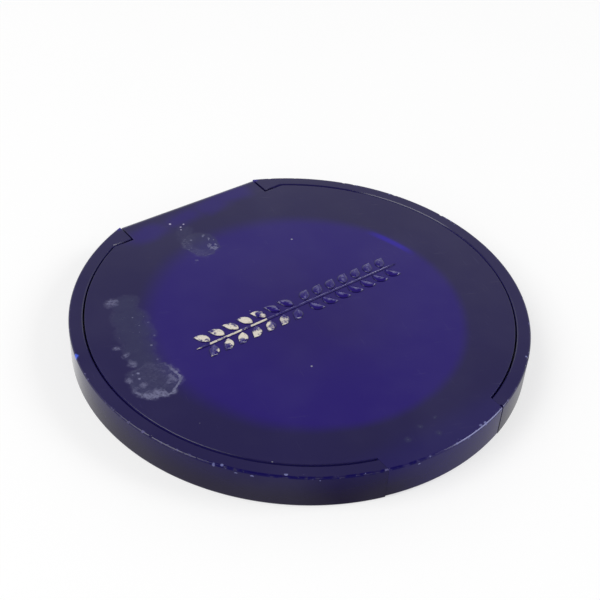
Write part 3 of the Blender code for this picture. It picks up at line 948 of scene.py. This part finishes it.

# Middles of the smudged stretch of that edge and of its stretch with a painted highlight, and the tip of the
# right ear
SMUDGED_EDGE = (-22.0, -34.6, HEIGHT)
HIGHLIGHT_EDGE_MIDDLE = (6.5, -40.3, HEIGHT)
EAR_TIP = (HINGE_NOTCH_HALF + 0.3, 37.7, HEIGHT)

# Patches of painted glow in the lid in front of the hinge, where light comes through the knuckle, as (x, y)
HINGE_GLOW_PATCHES = [(-12.0, 33.2), (-3.5, 34.0), (3.5, 34.6), (8.5, 35.4)]


def toned(colour, factor):
    """A colour made darker or lighter."""
    return tuple(min(1.0, factor * part) for part in colour)


def hairlines(shader):
    """A few fine short scratches in two directions."""
    lines = []
    for degrees, length in ((24, 5), (101, 4)):
        along = shader.scaled(shader.turned(degrees), (1 / length, 4.0, 1))
        lines.append(shader.ramp(shader.noise(1.0, at=along, detail=1.0), 0.72, 0.80))
    return shader.most(lines) * shader.ramp(shader.noise(14.0), 0.42, 0.58)


def edge_wear_and_highlight(shader):
    """Masks along the top outer edge: rubbed plastic, dark smudges, a painted highlight on its crest and
    loose chips.
    """
    outward, tip = shader.radius + shader.z, OUTER_R + HEIGHT
    corner = shader.ramp(outward, tip - 0.42, tip - 0.28)
    rubbed = corner * shader.ramp(shader.noise(0.9, detail=4.0, roughness=0.7), 0.57, 0.68)
    # Painted highlight along the crest of the edge, over one stretch at the front
    crest = shader.ramp(outward, tip - 0.25, tip - 0.19) * shader.near(HIGHLIGHT_EDGE_MIDDLE, 3.5, 8.5)
    smudged = corner * shader.ramp(shader.noise(1.3, detail=3.0), 0.42, 0.52)
    outer = shader.ramp(shader.radius, OUTER_R - 0.8, OUTER_R - 0.5)
    upper = shader.ramp(shader.z, HEIGHT - 0.9, HEIGHT - 0.6)
    battered = shader.most(shader.near((x, y, HEIGHT), r * 0.6, r) for x, y, r in BATTERED_EDGES)
    chips = shader.specks(1.0, 0.40, 0.5) * outer * upper * battered
    return rubbed, smudged * shader.near(SMUDGED_EDGE, 15.0, 21.0), crest, chips


def worn_plastic_with_painted_light(shader, colour, wall_shade, film=None, crust=None, painted_glints=0.0):
    """Gloss plastic that has been carried about: dusty, scratched and, on the lid, with dried glue; with
    painted glow in the groove, painted shade low on the wall and a painted highlight on the edge.
    """
    dust = shader.specks(4.5, 0.30, 0.26) | shader.specks(11.0, 0.36, 0.14)
    haze = shader.ramp(shader.noise(11.0, detail=2.0), 0.35, 0.75)
    scratch = hairlines(shader)
    rubbed, smudge, crest, chips = edge_wear_and_highlight(shader)
    deep = shader.ramp(shader.z, 1.0, 2.0) * shader.fade(shader.z, HEIGHT - 0.25, HEIGHT - 0.08)
    before_hinge = shader.fade(shader.y, EAR_FRONT_Y, EAR_FRONT_Y + 1.0)
    # Painted glow in the groove round the lid, brighter blue where light would leak through the plastic
    groove_glow = shader.band(shader.radius, LID_R, 0.45, 0.15) * deep * before_hinge
    on_wall = shader.ramp(shader.radius, OUTER_R - 0.4, OUTER_R) * wall_shade
    # Painted shade: the outer wall turns darker and less blue towards its bottom
    shaded_low_wall = shader.fade(shader.z, 1.0, HEIGHT + 1.0) * on_wall
    coats = [(groove_glow, PAINTED_GROOVE_GLOW), (shaded_low_wall, PAINTED_WALL_SHADE), (haze * 0.010, DUST)]
    roughness = shader.blend(haze, 0.12, 0.18)
    height = scratch * -0.2
    if film:
        coats += [(film * 0.8, GLUE_FILM), (crust, GLUE_CRUST)]
        roughness = shader.blend(crust, shader.blend(film, roughness, 0.3), 0.5)
        height = height + (film * 0.3 + crust)
    coats += [(scratch * 0.06, PALE_WEAR_AND_HIGHLIGHT), (rubbed * 0.6 * ~smudge, PALE_WEAR_AND_HIGHLIGHT), (smudge * 0.8, SMUDGE)]
    # The crest coat is a painted highlight on the edge
    coats += [(crest, PAINTED_EDGE_HIGHLIGHT), (chips * 0.9, CHIP_LIGHT), (dust * 0.6, DUST), (painted_glints, PAINTED_GLINT)]
    roughness = shader.blend(dust | rubbed | chips | crest | painted_glints, roughness, 0.6)
    shine = {"IOR": PLASTIC_IOR, "Specular_IOR_Level": shader.blend(smudge, 0.5, 0.12)}
    return shader.finish(shader.painted(colour, *coats), roughness, shader.bump(height, 0.03), **shine)


def seen_below(shader, depth):
    """The position that shows at a surface point from a depth in the plastic, bent by its refraction."""
    view = shader.made("ShaderNodeNewGeometry", output="Incoming")
    spaces = {"vector_type": "VECTOR", "convert_from": "WORLD", "convert_to": "OBJECT"}
    local = shader.made("ShaderNodeVectorTransform", [view], **spaces)
    upward = shader.math("POWER", shader.math("ABSOLUTE", shader.parts(local)[2]), 2.0)
    root = shader.math("SQRT", upward + (PLASTIC_IOR**2 - 1))
    inputs = {0: local, "Scale": shader.math("DIVIDE", depth, root)}
    shift = shader.made("ShaderNodeVectorMath", inputs, operation="SCALE")
    return shader.vector("SUBTRACT", shader.position, shift)


def glue_spots(shader, spots, at, softness):
    """Union of round spots, each faded over its outer part."""
    inner, outer = 1 - softness, 1 + 0.3 * softness
    return shader.most(shader.near((x, y, 0), r * inner, r * outer, at=at, flat=True) for x, y, r in spots)


def glue_outline(shader, spot, at, stretch, bright_side):
    """Film and raised rim of a dried drop. The rim is strongest towards one side."""
    x, y, radius = spot
    away = shader.distance((x, y, 0), at=at, stretch=stretch, flat=True)
    film = shader.fade(away, radius, radius + 0.5)
    offset = shader.vector("SUBTRACT", shader.position, (x, y, 0))
    side = shader.vector("DOT_PRODUCT", offset, bright_side)
    strength = shader.blend(shader.ramp(side, -0.5 * radius, 0.4 * radius), 0.15, 1.0)
    thin = shader.band(away, radius * 0.99, 0.12, 0.30)
    patchy = shader.ramp(shader.noise(2.1), 0.38, 0.6)
    wide = shader.band(away, radius * 0.84, 0.7, 0.9) * patchy * 0.9
    return film, (thin | wide) * strength


def glue_smears(shader):
    """Two old smears on the lid, as the masks of a thin film, of thicker crust and of painted glints on it.
    """
    shaken = shader.warped(2.4, 1.1)
    rough = shader.warped(0.7, 0.35, at=shaken)
    trail = glue_spots(shader, GLUE_TRAIL, shaken, 0.45) | glue_spots(shader, GLUE_NECK, rough, 0.9) * 0.6
    ring_film, ring_rim = glue_outline(shader, GLUE_RING, shaken, (1, 1, 1), (0.25, -0.97, 0))
    oval_film, oval_rim = glue_outline(shader, GLUE_OVAL, shaken, (1.2, 1, 1), (-0.97, -0.25, 0))
    streaks = shader.blend(shader.noise(1.3, detail=4.0), 0.4, 1.1)
    marks = glue_spots(shader, TAB_MARKS, shader.warped(0.7, 0.35), 1.0) * 0.9
    film = (trail | ring_film * 0.8 | oval_film * 0.75) * streaks | marks
    lumps = glue_spots(shader, GLUE_LUMPS, rough, 0.7) * 0.6
    specks = glue_spots(shader, GLUE_SPECKS, shader.warped(0.4, 0.16), 0.8)
    flecks = film * shader.specks(0.9, 0.32, 0.14)
    broken = shader.ramp(shader.noise(0.5, detail=5.0, roughness=0.7), 0.30, 0.62)
    trail_rim = shader.band(trail, 0.4, 0.12, 0.25) * 0.05
    rim = (ring_rim | ring_film * streaks * 0.15 | oval_rim * 0.17 | trail_rim) * broken * 0.9
    beads = glue_spots(shader, GLUE_BEADS, shader.warped(0.6, 0.7), 0.8) * broken
    # Painted glints: a few bright points on the glue by the hinge
    painted_glints = glue_spots(shader, HINGE_GLINTS, shader.warped(0.5, 0.15), 0.7)
    return film, rim | lumps * broken | beads | specks | flecks, painted_glints


def through_lid(shader, top):
    """Masks of what shows through the lid: the mirror's disc, its duller middle and a crescent of light."""
    below = seen_below(shader, MIRROR_DEPTH)
    away = shader.distance(WELL_CENTRE, at=shader.warped(9.0, 0.35, at=below), flat=True)
    crisp = shader.ramp(shader.vector("DOT_PRODUCT", below, TOWARDS_LIGHT_SIDE), -25.0, 20.0)
    edge_in = shader.blend(crisp, MIRROR_R - 3.6, MIRROR_R - 1.4)
    edge_out = shader.blend(crisp, MIRROR_R + 2.0, MIRROR_R + 1.1)
    x, y = math.cos(CRESCENT_TURN), math.sin(CRESCENT_TURN)
    beside = shader.near((MIRROR_R * x, WELL_Y + MIRROR_R * y, 0), 2.0, 6.5, at=below, flat=True)
    # Painted glow: a bright crescent along the mirror's edge, on its right
    crescent = shader.band(away, MIRROR_R - 0.9, 0.2, 0.8) * beside * top
    return shader.fade(away, edge_in, edge_out) * top, shader.fade(away, 2.0, MIRROR_R - 6.0), crescent


def lid_plastic():
    """Translucent blue plastic. The mirror's back shows through it as a brighter disc, and painted glow lies
    in a crescent by the mirror's edge, before the hinge and on the front tab.
    """
    shader = Shader("lid_plastic")
    top = shader.ramp(shader.z, HEIGHT - 0.6, HEIGHT - 0.2)
    disc, middle, crescent = through_lid(shader, top)
    place = {"at": shader.warped(5.0, 1.4), "stretch": (0.5, 1, 1), "flat": True}
    # Painted glow in front of the hinge, where light comes through the knuckle
    hinge_glow = shader.most(shader.near((x, y, 0), 0.8, 3.6, **place) for x, y in HINGE_GLOW_PATCHES) * top * 0.8
    # Painted glow: the front tab is bluer, for light that enters at its edge
    tab_glow = shader.fade(shader.y, 2.0 - OUTER_R, 8.0 - OUTER_R) * 0.7
    broad = shader.noise(16.0, detail=2.0)
    deep = shader.mix(broad, toned(PLASTIC, 0.85), toned(PLASTIC, 1.15))
    bright = shader.mix(middle * broad * 1.6, PLASTIC_OVER_MIRROR, PLASTIC_MID_MIRROR)
    coats = [(disc, bright), (crescent, PAINTED_BLUE_GLOW)]
    coats += [(hinge_glow, PLASTIC_OVER_MIRROR), (tab_glow, BLUE_GLOW_AND_PRINT)]
    film, crust, painted_glints = (mask * top for mask in glue_smears(shader))
    wall_shade = shader.blend(shader.ramp(shader.x, -TAB_HALF, -3.0), 0.95, 0.35)
    return worn_plastic_with_painted_light(shader, shader.painted(deep, *coats), wall_shade, film, crust, painted_glints)


def base_plastic():
    """The same plastic on the base, with one deeper chip on its rim, painted bright blue for light that
    scatters in it, and painted glow in the tips of its ears.
    """
    shader = Shader("base_plastic")
    broad = shader.noise(14.0, detail=2.0)
    plain = shader.mix(broad, toned(PLASTIC, 0.85), toned(PLASTIC, 1.15))
    # A chip in the rim, painted bright blue for the light that scatters in it
    chip = shader.near(RIM_CHIP, 0.35, 0.8, at=shader.warped(0.6, 0.3))
    # Painted glow in the tips of the ears
    tips = shader.most(shader.near((side * EAR_TIP[0], *EAR_TIP[1:]), 0.3, 1.1) for side in (-1, 1))
    colour = shader.painted(plain, (chip, CHIP_GLOW_BLUE), (tips * 0.8, PAINTED_BLUE_GLOW))
    return worn_plastic_with_painted_light(shader, colour, 0.95)


def sprig_plastic():
    """The ornament: the lid's plastic, with what is left of an ivory foil on the flats of its left half, and
    keels made lighter, partly by rubbed wear and partly as a painted highlight.
    """
    shader = Shader("sprig_plastic")
    high = shader.ramp(shader.z, HEIGHT + 0.10, HEIGHT + 0.16)
    keel = shader.ramp(shader.z, LID_HIGH.z - 0.10, LID_HIGH.z - 0.02)
    left = shader.fade(shader.x, -9.0, 4.0)
    patchy = shader.noise(2.6, detail=5.0, roughness=0.65)
    foil = high * shader.ramp(patchy - ~left * 0.5, 0.46, 0.54) * left
    # Lighter keels: rubbed wear, and a painted highlight along the ridges
    rubbed = keel * shader.ramp(shader.noise(0.8, detail=3.0), 0.40, 0.65) * 0.8
    colour = shader.painted(PLASTIC, (high, PLASTIC_OVER_MIRROR), (foil, FOIL), (rubbed * ~foil, PALE_WEAR_AND_HIGHLIGHT))
    return shader.finish(colour, shader.blend(foil, 0.2, 0.42), shader.bump(patchy, 0.03), IOR=PLASTIC_IOR)


def deck_plastic():
    """Satin plastic with the fine grain of an eroded mould, and a little spilt powder in it."""
    shader = Shader("deck_plastic_grain")
    grain = shader.noise(0.16, detail=2.0)
    spilt = shader.ramp(shader.noise(1.1, detail=6.0, roughness=0.75), 0.60, 0.80)
    near_well = shader.near(WELL_CENTRE, WELL_R, WELL_R + 5.0, flat=True)
    colour = shader.mix(spilt * near_well * 0.35, toned(PLASTIC, 1.4), POWDER)
    roughness = shader.blend(shader.noise(3.0), 0.26, 0.38)
    return shader.finish(colour, roughness, shader.bump(grain, 0.02), IOR=PLASTIC_IOR)


def powder_surface():
    """Pressed powder: chalky, fine-grained, a little darker where it was rubbed."""
    shader = Shader("pressed_powder_grain")
    grain = shader.noise(0.12, detail=4.0, roughness=0.7)
    broad = shader.noise(7.0, detail=3.0)
    colour = shader.painted(POWDER, (broad, toned(POWDER, 0.88)), (grain * 0.25, toned(POWDER, 1.2)))
    return shader.finish(colour, 0.92, shader.bump(grain, 0.05), Sheen_Weight=0.25)


def brushed_metal(name, colour, size, roughness):
    """Metal with fine turned lines around the pan's centre."""
    shader = Shader(name)
    around = shader.made("ShaderNodeCombineXYZ", [shader.distance(WELL_CENTRE, flat=True), shader.z])
    lines = shader.noise(size, at=around, detail=3.0)
    stain = shader.noise(4.0, detail=3.0)
    tone = shader.mix(stain * 0.4, colour, toned(colour, 0.8))
    rough = shader.blend(lines, roughness - 0.08, roughness + 0.12)
    return shader.finish(tone, rough, shader.bump(lines, 0.008), Metallic=1.0)


def silvered_glass():
    """Mirror: bright silver behind glass, with faint finger smudges and powder dust."""
    shader = Shader("silvered_glass")
    smudge = shader.ramp(shader.noise(8.0, detail=2.0), 0.35, 0.8)
    dust = shader.specks(1.6, 0.16, 0.2) * 0.7
    colour = shader.mix(dust, SILVER, POWDER)
    return shader.finish(colour, shader.blend(smudge, 0.008, 0.02), Metallic=~dust)


def clear_film():
    """Thin clear film with faint cloudy rubs."""
    shader = Shader("clear_film_rubbed")
    cloud = shader.ramp(shader.noise(3.0, detail=4.0), 0.4, 0.75)
    ripple = shader.noise(6.0, detail=1.0)
    return shader.finish(FILM_TINT, 0.08, shader.bump(ripple, 0.15), Alpha=shader.blend(cloud, 0.14, 0.34))


def velour():
    """Velour: short pile that catches light at a slant, brushed one way here and the other there."""
    shader = Shader("velour_pile")
    fine = shader.noise(0.25, detail=3.0, roughness=0.7)
    tufts = shader.noise(0.75, at=shader.scaled(shader.position, (1.0, 0.6, 1)), detail=3.0, roughness=0.65)
    pile = shader.ramp(shader.blend(fine, 0.3, 0.7), 0.38, 0.62)
    clumps = shader.ramp(tufts, 0.35, 0.65)
    nap = shader.ramp(shader.noise(11.0, detail=1.0), 0.3, 0.7)
    in_seam = shader.band(shader.distance(WELL_CENTRE, flat=True), PUFF_SEAM_R, 0.12, 0.35)
    coats = [(nap, PILE_DARK), (clumps * 0.35, PILE_ROOT), (pile * 0.3, PILE_TIP)]
    colour = shader.painted(PILE_LIGHT, *coats, (in_seam * 0.55, SEAM_SHADE))
    height = clumps * 0.7 + pile * 0.3
    return shader.finish(colour, 0.95, shader.bump(height, 0.14), Sheen_Weight=0.5, Sheen_Roughness=0.5)


def satin():
    """Navy ribbon: threads across and along it, with painted shade between the ribs and a soft shine on
    their crests.
    """
    shader = Shader("navy_ribbon_weave")
    across_threads = shader.math("SINE", shader.x * (2 * math.pi / 0.15))
    along_threads = shader.math("SINE", shader.y * (2 * math.pi / 0.24))
    weave = across_threads * 0.3 + along_threads * 0.3
    crest = shader.ramp(shader.z, RIBBON_HIGH.z - RIB_HEIGHT, RIBBON_HIGH.z)
    slub = shader.noise(2.0, at=shader.scaled(shader.position, (3.0, 0.4, 1)), detail=2.0)
    # Painted shade: darker between the ribs
    colour = shader.mix(crest, toned(PLASTIC, 0.5), shader.mix(slub, RIBBON_DARK, RIBBON_LIGHT))
    shine = {"Sheen_Weight": 0.12, "Specular_IOR_Level": shader.blend(crest, 0.1, 0.45)}
    return shader.finish(colour, shader.blend(crest, 0.75, 0.42), shader.bump(weave, 0.02), **shine)


def label_stock():
    """Blank silver-grey label with a faint paper fibre."""
    shader = Shader("label_stock")
    fibre = shader.noise(0.5, at=shader.scaled(shader.position, (1.0, 0.25, 1)), detail=4.0)
    border = shader.band(shader.radius, LABEL_HIGH.x - 1.6, 0.12, 0.05)
    colour = shader.painted(LABEL_DARK, (fibre, LABEL_LIGHT), (border, BLUE_GLOW_AND_PRINT))
    return shader.finish(colour, shader.blend(fibre, 0.4, 0.6), shader.bump(fibre, 0.01))


def sticky_tape():
    """Yellowed foam tape."""
    shader = Shader("sticky_tape")
    cells = shader.noise(0.3, detail=3.0)
    return shader.finish(shader.mix(cells, TAPE_LIGHT, TAPE_DARK), 0.7, shader.bump(cells, 0.05))


def wear(target, material):
    target.data.materials.clear()
    target.data.materials.append(material)
    return target


# ---------------------------------------------------------------- stage

TABLE_HALF = 1.5
TABLE_GAP = 0.02
TABLE_DARK = (0.43, 0.43, 0.43)
TABLE_LIGHT = (0.45, 0.45, 0.45)
TABLE_GLOW = 0.603


def floor():
    """Wide white table top, lit a little from below so that shadows stay faint."""
    bm = bmesh.new()
    bmesh.ops.create_grid(bm, x_segments=1, y_segments=1, size=TABLE_HALF)
    table = mesh_object("table_top", bm)
    table.location.z = -TABLE_GAP * MM
    table.visible_glossy = False
    shader = Shader("white_table")
    colour = shader.mix(shader.noise(90.0, detail=2.0), TABLE_DARK, TABLE_LIGHT)
    glow = {"Emission_Color": (1, 1, 1), "Emission_Strength": TABLE_GLOW, "Specular_IOR_Level": 0.0}
    wear(table, shader.finish(colour, 0.9, **glow))


CAMERA_AZIMUTH = math.radians(-38.8)
FAR_SIDE = (-math.sin(CAMERA_AZIMUTH), math.cos(CAMERA_AZIMUTH), 0)
RIGHT_SIDE = (FAR_SIDE[1], -FAR_SIDE[0], 0)


def stops(nodes, value, low, entries):
    """Brightness at (value, brightness) stops, along a value that runs from low to 1."""
    ramp = nodes.add("ShaderNodeValToRGB")
    nodes.plug(ramp.inputs[0], nodes.made("ShaderNodeMapRange", [value, low]))
    elements = ramp.color_ramp.elements
    while len(elements) < len(entries):
        elements.new(0.5)
    for element, (position, brightness) in zip(elements, entries):
        element.position = (position - low) / (1 - low)
        element.color = (brightness, brightness, brightness, 1)
    return Value(nodes, ramp.outputs[0])


def sky():
    """White room, bright far behind the object and darker towards the camera."""
    world = bpy.data.worlds.new("studio")
    bpy.context.scene.world = world
    world.use_nodes = True
    nodes = Nodes(world.node_tree)
    direction = nodes.made("ShaderNodeTexCoord", output="Generated")
    up = nodes.parts(direction)[2]
    behind, right = (nodes.vector("DOT_PRODUCT", direction, side) for side in (FAR_SIDE, RIGHT_SIDE))
    overhead = stops(nodes, up, 0, [(0.0, 0.9), (0.35, 0.8), (0.7, 0.32), (1.0, 0.25)])
    towards_camera = stops(nodes, behind, -1, [(-0.6, 0.25), (0.2, 1.0)])
    high_up = stops(nodes, up, 0, [(0.45, 0.0), (0.62, 1.0)])
    upper = nodes.mix(high_up, overhead, nodes.mix(1.0, overhead, towards_camera, "MULTIPLY"))
    lower = stops(nodes, behind, -1, [(-0.7, 0.33), (-0.1, 0.42), (0.25, 0.5), (0.45, 0.68), (0.7, 1.0)])
    right_wall = stops(nodes, right, -1, [(0.0, 1.0), (0.28, 0.42), (0.7, 0.88)])
    lower = nodes.mix(1.0, lower, right_wall, "MULTIPLY")
    horizon = stops(nodes, up, -1, [(-0.12, 0.0), (0.04, 1.0)])
    background = world.node_tree.nodes["Background"]
    nodes.plug(background.inputs["Color"], nodes.mix(horizon, lower, upper))
    nodes.plug(background.inputs["Strength"], 1.0)


# Square lights as name, direction, distance, size and watts
SOFTBOXES = [
    ("left_softbox", (-0.635, 0.184, 0.75), 0.9, 0.6, 4.0),
    ("right_softbox", (0.652, -0.454, 0.605), 1.0, 0.4, 3.2),
]


def softbox(name, direction, distance, size, watts):
    """A square light that faces the object."""
    light = bpy.data.lights.new(name, "AREA")
    light.size = size
    light.energy = watts
    lamp = bpy.data.objects.new(name, light)
    bpy.context.scene.collection.objects.link(lamp)
    away = Vector(direction).normalized()
    lamp.location = away * distance
    lamp.rotation_euler = away.to_track_quat("Z", "Y").to_euler()


CAMERA_ELEVATION = math.radians(41.07)
CAMERA_DISTANCE = 5.087 * OUTER_R
CAMERA_TILT = math.radians(1.648)
CAMERA_ROLL = math.radians(3.733)
CAMERA_LENS = 68.5
CAMERA_SHIFT = (-0.0026, -0.0012)


def turned_towards(first, second, angle):
    """Two directions at right angles, turned by an angle from the first towards the second."""
    cos, sin = math.cos(angle), math.sin(angle)
    return cos * first + sin * second, cos * second - sin * first


def camera():
    """Looks down across the front left of the compact, rolled a little clockwise."""
    data = bpy.data.cameras.new("camera")
    data.lens = CAMERA_LENS
    data.clip_start = 0.01
    data.shift_x, data.shift_y = CAMERA_SHIFT
    shot = bpy.data.objects.new("camera", data)
    bpy.context.scene.collection.objects.link(shot)
    flat, rise = math.cos(CAMERA_ELEVATION), math.sin(CAMERA_ELEVATION)
    back = Vector((math.sin(CAMERA_AZIMUTH) * flat, -math.cos(CAMERA_AZIMUTH) * flat, rise))
    right = (-back).cross(Vector((0, 0, 1))).normalized()
    view, up = turned_towards(-back, right.cross(-back), CAMERA_TILT)
    right, up = turned_towards(right, up, CAMERA_ROLL)
    turn = Matrix((right, up, -view)).transposed().to_4x4()
    shot.matrix_world = Matrix.Translation(back * CAMERA_DISTANCE * MM) @ turn
    bpy.context.scene.camera = shot


# ---------------------------------------------------------------- assembly


def fit(piece, body, node, material):
    """Puts a finished piece in the place of its CAD node."""
    wear(piece, material)
    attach(piece, body)
    if node:
        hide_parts(node)


def assemble():
    steel = brushed_metal("turned_steel", STEEL, 0.2, 0.3)
    aluminium = brushed_metal("spun_aluminium", ALUMINIUM, 0.25, 0.32)
    fit(base_shell(), "base", "base_shell", base_plastic())
    fit(lid_shell(), "lid", "lid_shell", lid_plastic())
    fit(leaf_sprig(), "lid", None, sprig_plastic())
    fit(mirror_glass(), "lid", "mirror", silvered_glass())
    fit(inner_deck(), "base", "inner_deck", deck_plastic())
    fit(powder_pan(), "base", "powder_pan", aluminium)
    fit(pressed_powder(), "base", "pressed_powder", powder_surface())
    fit(separator_film(), "base", "separator_film", clear_film())
    fit(powder_puff(), "base", "powder_puff", velour())
    fit(puff_ribbon(), "base", "puff_ribbon", satin())
    fit(base_label(), "base", "base_label", label_stock())
    fit(hinge_pin("steel_pin_left", -1), "base", "hinge_pin_left", steel)
    fit(hinge_pin("steel_pin_right", 1), "base", "hinge_pin_right", steel)
    tape = sticky_tape()
    for node in ("mirror_tape", "pan_tape"):
        wear(frame["nodes"][node], tape)


bpy.context.scene.view_settings.view_transform = "Standard"
assemble()
floor()
sky()
for settings in SOFTBOXES:
    softbox(*settings)
camera()
